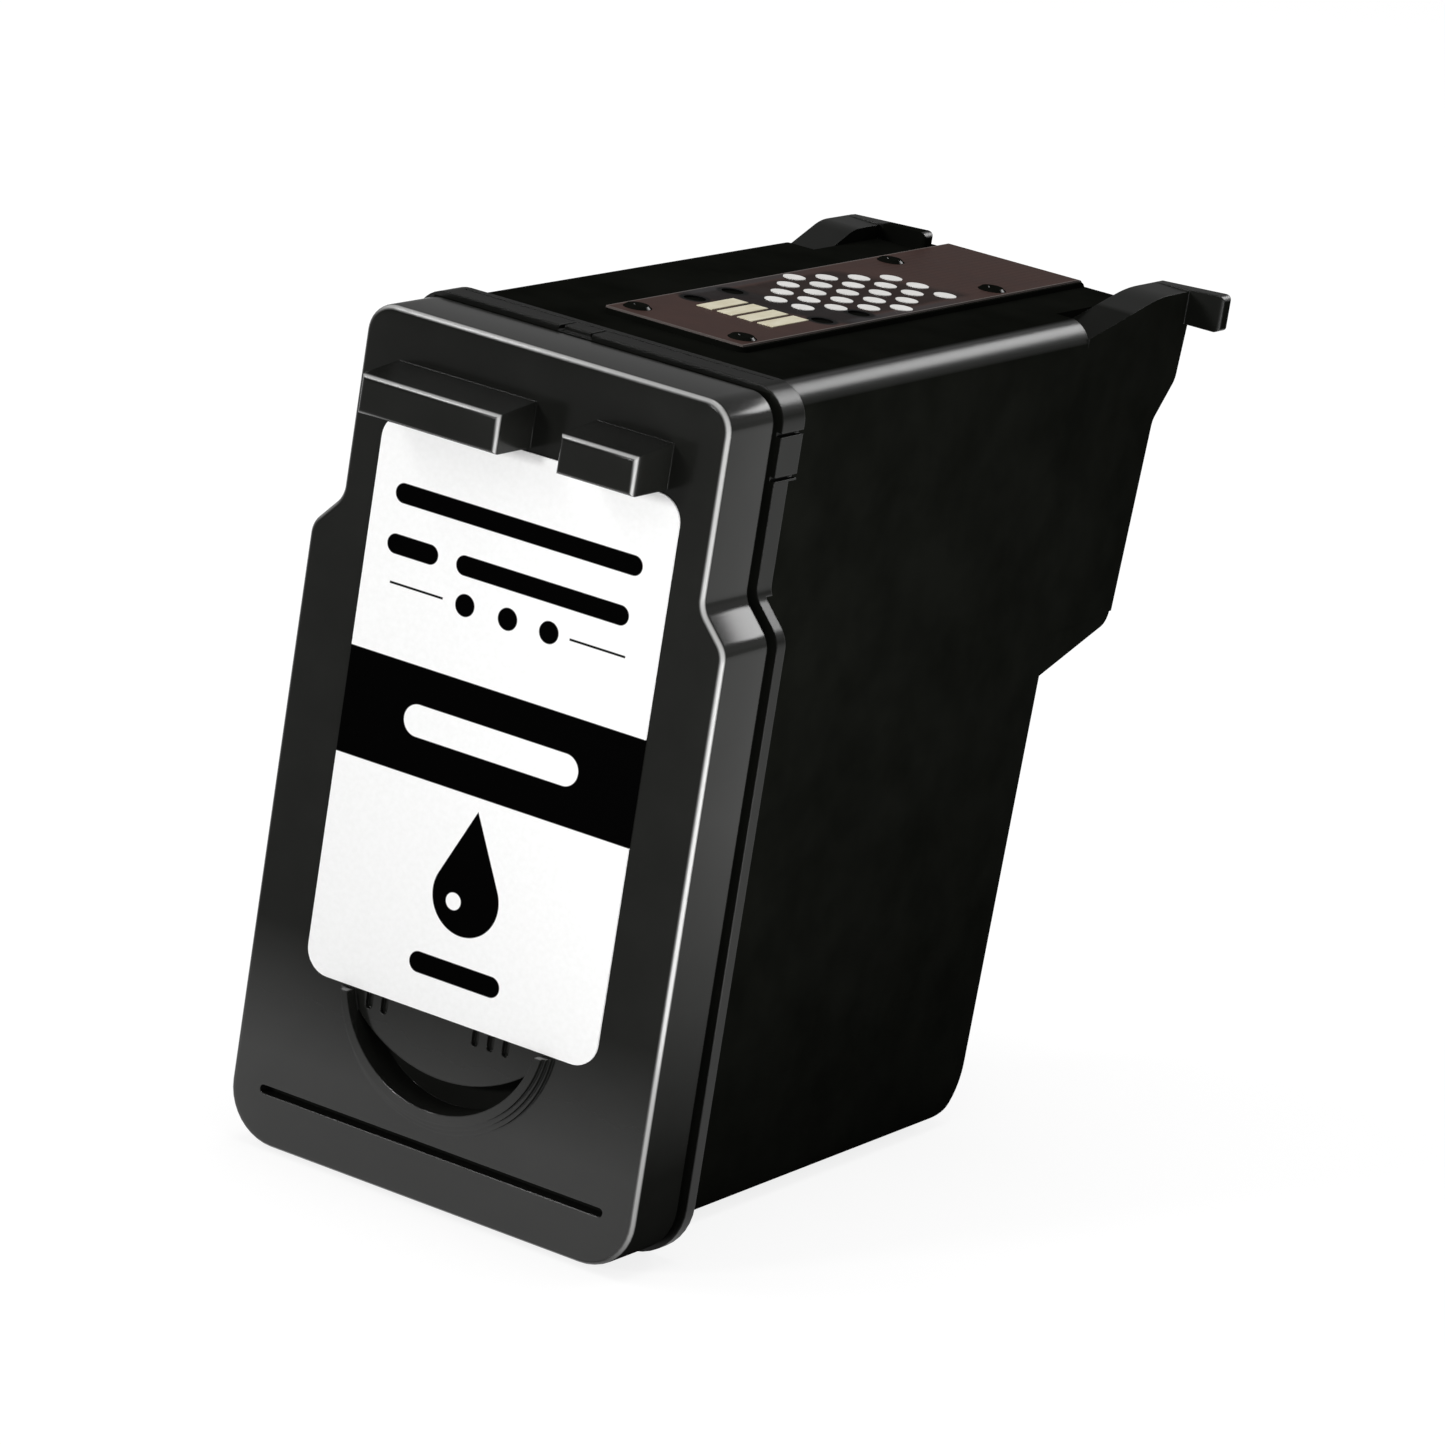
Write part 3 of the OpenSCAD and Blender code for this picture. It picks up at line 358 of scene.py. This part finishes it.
def film():
    """Polyimide tape with buried conductor tracks, dark where they crowd round the contacts."""
    g = Graph("polyimide_tape")
    x, depth, _ = g.millimetres()
    across = g.take(x, TAPE_MIDDLE)
    along = g.take(depth, TAPE_START)
    aside = g.size(across)
    wander = g.times(g.take(g.noise(700.0, detail=3.0, roughness=0.6), 0.5), 1.6)
    cloud = g.noise(420.0, detail=4.0, roughness=0.6)
    base = g.mix(g.rise(cloud, FINE_LOW, FINE_HIGH), FILM_DARK, FILM_LIGHT)
    # Tracks run along the tape towards the chip
    track = g.math("SINE", g.times(across, 2 * math.pi / TRACK_PITCH))
    far = g.rise(along, *TRACK_START)
    lines = g.times(g.rise(track, 0.1, 0.6), g.fall(aside, *TRACK_SIDE))
    color = g.mix(g.times(lines, g.times(far, 0.30)), base, TRACK_BROWN)
    # Slanted field round the pads
    level = g.add(g.take(along, g.times(across, SLANT)), wander)
    reach = g.size(g.take(across, g.times(wander, 0.3)))
    field = g.times(g.band(level, *FIELD), g.fall(reach, *FIELD_SIDE))
    color = g.mix(g.times(field, 0.72), color, FIELD_BROWN)
    # Dark belt between the bars and the pads
    color = g.mix(g.times(g.band(level, *BELT), 0.86), color, BELT_GREY)
    # Grey strips at both sides of them
    strips = g.times(g.rise(aside, *STRIP_SIDE), g.band(level, *STRIPS))
    color = g.mix(g.times(strips, 0.7), color, STRIP_GREY)
    holes = g.most(*(g.disc(across, along, at, HOLE_RADIUS, HOLE_FADE) for at in TOOLING_HOLES))
    color = g.mix(holes, color, HOLE_BLACK)
    # Thin painted highlight where the film ends, a pale line along its sides and its start
    rim = g.most(g.rise(aside, *TAPE_RIM), g.fall(along, *TAPE_END))
    color = g.mix(g.times(rim, 0.55), color, PAINTED_EDGE_HIGHLIGHT)
    relief = g.add(g.times(lines, far, 0.5), g.times(g.noise(3000.0), 0.25))
    rough = g.spread(cloud, LOW, HIGH, 0.36, 0.48)
    return g.surface(color, rough, g.bump(relief, 0.12, 0.03 * MM), Specular_IOR_Level=0.02)


def plated(name, dark, light, metallic, rough):
    """Plated contact with light wiping marks along the tape."""
    g = Graph(name)
    scuff = g.noise(1500.0, detail=3.0, roughness=0.6, stretch=(1.0, 0.25, 1.0))
    color = g.mix(g.rise(scuff, FINE_LOW, FINE_HIGH), dark, light)
    rough = g.spread(scuff, LOW, HIGH, *rough)
    return g.surface(color, rough, g.bump(scuff, 0.06, 0.03 * MM), Metallic=metallic)


def silicon():
    g = Graph("silicon")
    tone = g.noise(700.0)
    color = g.mix(tone, (0.055, 0.060, 0.075), (0.090, 0.095, 0.110))
    return g.surface(color, g.spread(tone, LOW, HIGH, 0.12, 0.20), None, Metallic=0.55)


# Distance of the nozzle rows from the chip's middle, and the pitch of their openings
NOZZLE_ROW = 0.7
NOZZLE_PITCH = 0.3


def nozzle_layer():
    """Amber nozzle film with rows of tiny dark openings in its two grooves."""
    g = Graph("nozzle_layer")
    x, _, z = g.millimetres()
    tone = g.noise(900.0)
    base = g.mix(tone, (0.120, 0.075, 0.035), (0.160, 0.100, 0.050))
    away = g.size(g.take(x, TAPE_MIDDLE))
    in_row = g.fall(g.size(g.take(away, NOZZLE_ROW)), 0.05, 0.08)
    beat = g.rise(g.math("SINE", g.times(z, 2 * math.pi / NOZZLE_PITCH)), 0.0, 0.5)
    color = g.mix(g.times(in_row, beat), base, (0.010, 0.008, 0.006))
    rough = g.spread(tone, LOW, HIGH, 0.20, 0.30)
    return g.surface(color, rough, g.bump(tone, 0.05, 0.02 * MM), Specular_IOR_Level=0.5)


def bead():
    g = Graph("sealing_bead")
    tone = g.noise(1200.0)
    color = g.mix(tone, (0.006, 0.005, 0.005), (0.012, 0.010, 0.010))
    rough = g.spread(tone, LOW, HIGH, 0.18, 0.30)
    return g.surface(color, rough, g.bump(tone, 0.2, 0.06 * MM), Specular_IOR_Level=0.5)


def pressed_fibre():
    g = Graph("pressed_fibre")
    tone = g.noise(1400.0, detail=5.0, roughness=0.7, stretch=(1.0, 1.0, 0.3))
    color = g.mix(tone, (0.02, 0.02, 0.024), (0.07, 0.07, 0.08))
    return g.surface(color, g.spread(tone, LOW, HIGH, 0.85, 0.95), g.bump(tone, 0.8, 0.3 * MM))


def mesh_steel():
    g = Graph("woven_steel")
    weave = g.node("ShaderNodeTexChecker")
    g.link(g.position(), weave.inputs["Vector"])
    g.feed(weave.inputs["Scale"], 12000.0)
    share = weave.outputs["Fac"]
    color = g.mix(share, (0.42, 0.43, 0.45), (0.62, 0.63, 0.65))
    rough = g.spread(share, 0.0, 1.0, 0.32, 0.40)
    return g.surface(color, rough, g.bump(share, 0.4, 0.05 * MM), Metallic=1.0)


MATERIALS = {
    "tank_body": tank_plastic(),
    "front_cover": cover_plastic(),
    "cover_label": label_print(),
    "wiring_tape": film(),
    "round_contacts": plated("pale_plating", (0.93, 0.92, 0.89), (0.97, 0.96, 0.94), 0.10, (0.35, 0.47)),
    "bar_contacts": plated("gold_plating", (0.86, 0.79, 0.56), (0.93, 0.88, 0.68), 0.20, (0.32, 0.44)),
    "nozzle_chip": silicon(),
    "nozzle_plate": nozzle_layer(),
    "lead_sealant": bead(),
    "ink_absorber": pressed_fibre(),
    "outlet_filter": mesh_steel(),
}
for name, material in MATERIALS.items():
    for slot in nodes[name].material_slots:
        slot.material = material

# Smooth shading
SHARP_ANGLE = math.radians(28)
JOIN_DISTANCE = 0.001 * MM
SMOOTHED = ("tank_body", "front_cover", "cover_label", "wiring_tape", "round_contacts", "lead_sealant",
            "outlet_filter")


def smoothing_tree():
    """Joins the mesh's split corners and shades it smooth, but for the sharp edges."""
    tree = bpy.data.node_groups.new("joined_and_smooth", "GeometryNodeTree")
    tree.interface.new_socket("Geometry", in_out="INPUT", socket_type="NodeSocketGeometry")
    tree.interface.new_socket("Geometry", in_out="OUTPUT", socket_type="NodeSocketGeometry")
    start = tree.nodes.new("NodeGroupInput")
    join = tree.nodes.new("GeometryNodeMergeByDistance")
    join.inputs["Distance"].default_value = JOIN_DISTANCE
    faces = tree.nodes.new("GeometryNodeSetShadeSmooth")
    faces.domain = "FACE"
    edges = tree.nodes.new("GeometryNodeSetShadeSmooth")
    edges.domain = "EDGE"
    edges.inputs["Shade Smooth"].default_value = False
    turn = tree.nodes.new("GeometryNodeInputMeshEdgeAngle")
    sharper = tree.nodes.new("FunctionNodeCompare")
    sharper.operation = "GREATER_THAN"
    sharper.inputs["B"].default_value = SHARP_ANGLE
    end = tree.nodes.new("NodeGroupOutput")
    tree.links.new(start.outputs[0], join.inputs["Geometry"])
    tree.links.new(join.outputs[0], faces.inputs["Geometry"])
    tree.links.new(faces.outputs[0], edges.inputs["Geometry"])
    tree.links.new(turn.outputs["Unsigned Angle"], sharper.inputs["A"])
    tree.links.new(sharper.outputs[0], edges.inputs["Selection"])
    tree.links.new(edges.outputs[0], end.inputs[0])
    return tree


smooth = smoothing_tree()
for name in SMOOTHED:
    nodes[name].modifiers.new("smooth", "NODES").node_group = smooth

# Floor
FLOOR_HALF = 3.0
FLOOR_DROP = 0.02 * MM
FLOOR_PLAIN = (0.80, 0.80, 0.80)
FLOOR_SHADE = (0.25, 0.25, 0.25)
FLOOR_GLOW = 0.84
WHITE = (1.0, 1.0, 1.0)


def floor_white():
    """Plain pale floor for the light, and white with a faint shadow where it is seen."""
    g = Graph("floor_white")
    rays = g.node("ShaderNodeLightPath").outputs
    seen = g.most(rays["Is Camera Ray"], rays["Is Glossy Ray"], rays["Is Transmission Ray"])
    plain = g.node("ShaderNodeBsdfDiffuse")
    g.feed(plain.inputs["Color"], FLOOR_PLAIN)
    shade = g.node("ShaderNodeBsdfDiffuse")
    g.feed(shade.inputs["Color"], FLOOR_SHADE)
    glow = g.node("ShaderNodeEmission")
    g.feed(glow.inputs["Color"], WHITE)
    g.feed(glow.inputs["Strength"], FLOOR_GLOW)
    lit = g.node("ShaderNodeAddShader")
    g.link(shade.outputs[0], lit.inputs[0])
    g.link(glow.outputs[0], lit.inputs[1])
    both = g.node("ShaderNodeMixShader")
    g.link(seen, both.inputs[0])
    g.link(plain.outputs[0], both.inputs[1])
    g.link(lit.outputs[0], both.inputs[2])
    g.link(both.outputs[0], g.out.inputs[0])
    return g.mat


def floor():
    half = FLOOR_HALF
    corners = [(-half, -half, 0), (half, -half, 0), (half, half, 0), (-half, half, 0)]
    mesh = bpy.data.meshes.new("floor")
    mesh.from_pydata(corners, [], [(0, 1, 2, 3)])
    mesh.materials.append(floor_white())
    obj = bpy.data.objects.new("floor", mesh)
    scene.collection.objects.link(obj)
    obj.location.z = -FLOOR_DROP


# Lamps
AIM = Vector((0.0, 0.0, 0.035))
OVER_BOUNCE = Vector((0.15, -0.06, 1.0))
WORLD_STRENGTH = 0.26


def lamp(name, width, length, watts):
    data = bpy.data.lights.new(name, "AREA")
    data.shape = "RECTANGLE"
    data.size = width
    data.size_y = length
    data.energy = watts
    obj = bpy.data.objects.new(name, data)
    scene.collection.objects.link(obj)
    return obj


def panel(name, direction, distance, width, length, watts):
    """Lamp that lies in a direction from the middle of the cartridge and faces it."""
    obj = lamp(name, width, length, watts)
    back = Vector(direction).normalized()
    obj.location = AIM + back * distance
    obj.rotation_euler = back.to_track_quat("Z", "Y").to_euler()


def strip(name, start, end, width, watts, target):
    """Narrow lamp whose long side runs from the start to the end, facing the target."""
    first = Vector(start)
    last = Vector(end)
    obj = lamp(name, width, (last - first).length, watts)
    centre = (first + last) / 2
    along = (last - first).normalized()
    back = centre - target
    back = (back - along * back.dot(along)).normalized()
    turn = Matrix((along.cross(back), along, back)).transposed().to_4x4()
    obj.matrix_world = Matrix.Translation(centre) @ turn


def studio():
    world = bpy.data.worlds.new("studio")
    scene.world = world
    world.use_nodes = True
    sky = world.node_tree.nodes["Background"]
    sky.inputs["Color"].default_value = (*WHITE, 1.0)
    sky.inputs["Strength"].default_value = WORLD_STRENGTH
    panel("key", (-0.30, -0.93, 0.22), 0.75, width=0.10, length=0.10, watts=1.9)
    # One strip over the upper edges, and one on the table for the right edges
    strip("strip", (-0.39, -0.605, 0.349), (-0.39, -0.16, 0.688), 0.05, 1.0, AIM)
    strip("bounce", (0.060, -0.04, 0.0006), (0.240, -0.09, 0.0006), 0.10, 0.45, OVER_BOUNCE)
    panel("rim", (0.20, 0.83, 0.50), 0.80, width=0.45, length=0.12, watts=1.1)
    panel("overhead", (0.0, 0.05, 1.0), 0.80, width=0.50, length=0.50, watts=2.4)


# Camera, solved from the cartridge's own edges in the photograph
AZIMUTH = math.radians(30.427)
ELEVATION = math.radians(15.512)
ROLL = math.radians(9.071)
FOCAL_PIXELS = 7109.95
FRAME_PIXELS = 1445.0
SENSOR_WIDTH = 36.0
AIM_DEPTH = 30.0 * MM
AIM_HEIGHT = 40.0 * MM
SHIFT_RIGHT = -0.151 * MM
SHIFT_UP = -7.540 * MM
CAMERA_DISTANCE = 533.575 * MM
CLIP_START = 10.0 * MM


def camera():
    level = Vector((math.cos(AZIMUTH), math.sin(AZIMUTH), 0.0))
    outward = Vector((math.sin(AZIMUTH), -math.cos(AZIMUTH), 0.0))
    back = outward * math.cos(ELEVATION) + Vector((0.0, 0.0, math.sin(ELEVATION)))
    upright = back.cross(level)
    right = level * math.cos(ROLL) + upright * math.sin(ROLL)
    up = upright * math.cos(ROLL) - level * math.sin(ROLL)
    target = Vector((0.0, FRONT + AIM_DEPTH, LIFT + AIM_HEIGHT))
    place = target + right * SHIFT_RIGHT + up * SHIFT_UP + back * CAMERA_DISTANCE
    data = bpy.data.cameras.new("camera")
    data.sensor_width = SENSOR_WIDTH
    data.lens = FOCAL_PIXELS * SENSOR_WIDTH / FRAME_PIXELS
    data.clip_start = CLIP_START
    obj = bpy.data.objects.new("camera", data)
    scene.collection.objects.link(obj)
    turn = Matrix((right, up, back)).transposed().to_4x4()
    obj.matrix_world = Matrix.Translation(place) @ turn
    scene.camera = obj


floor()
studio()
camera()
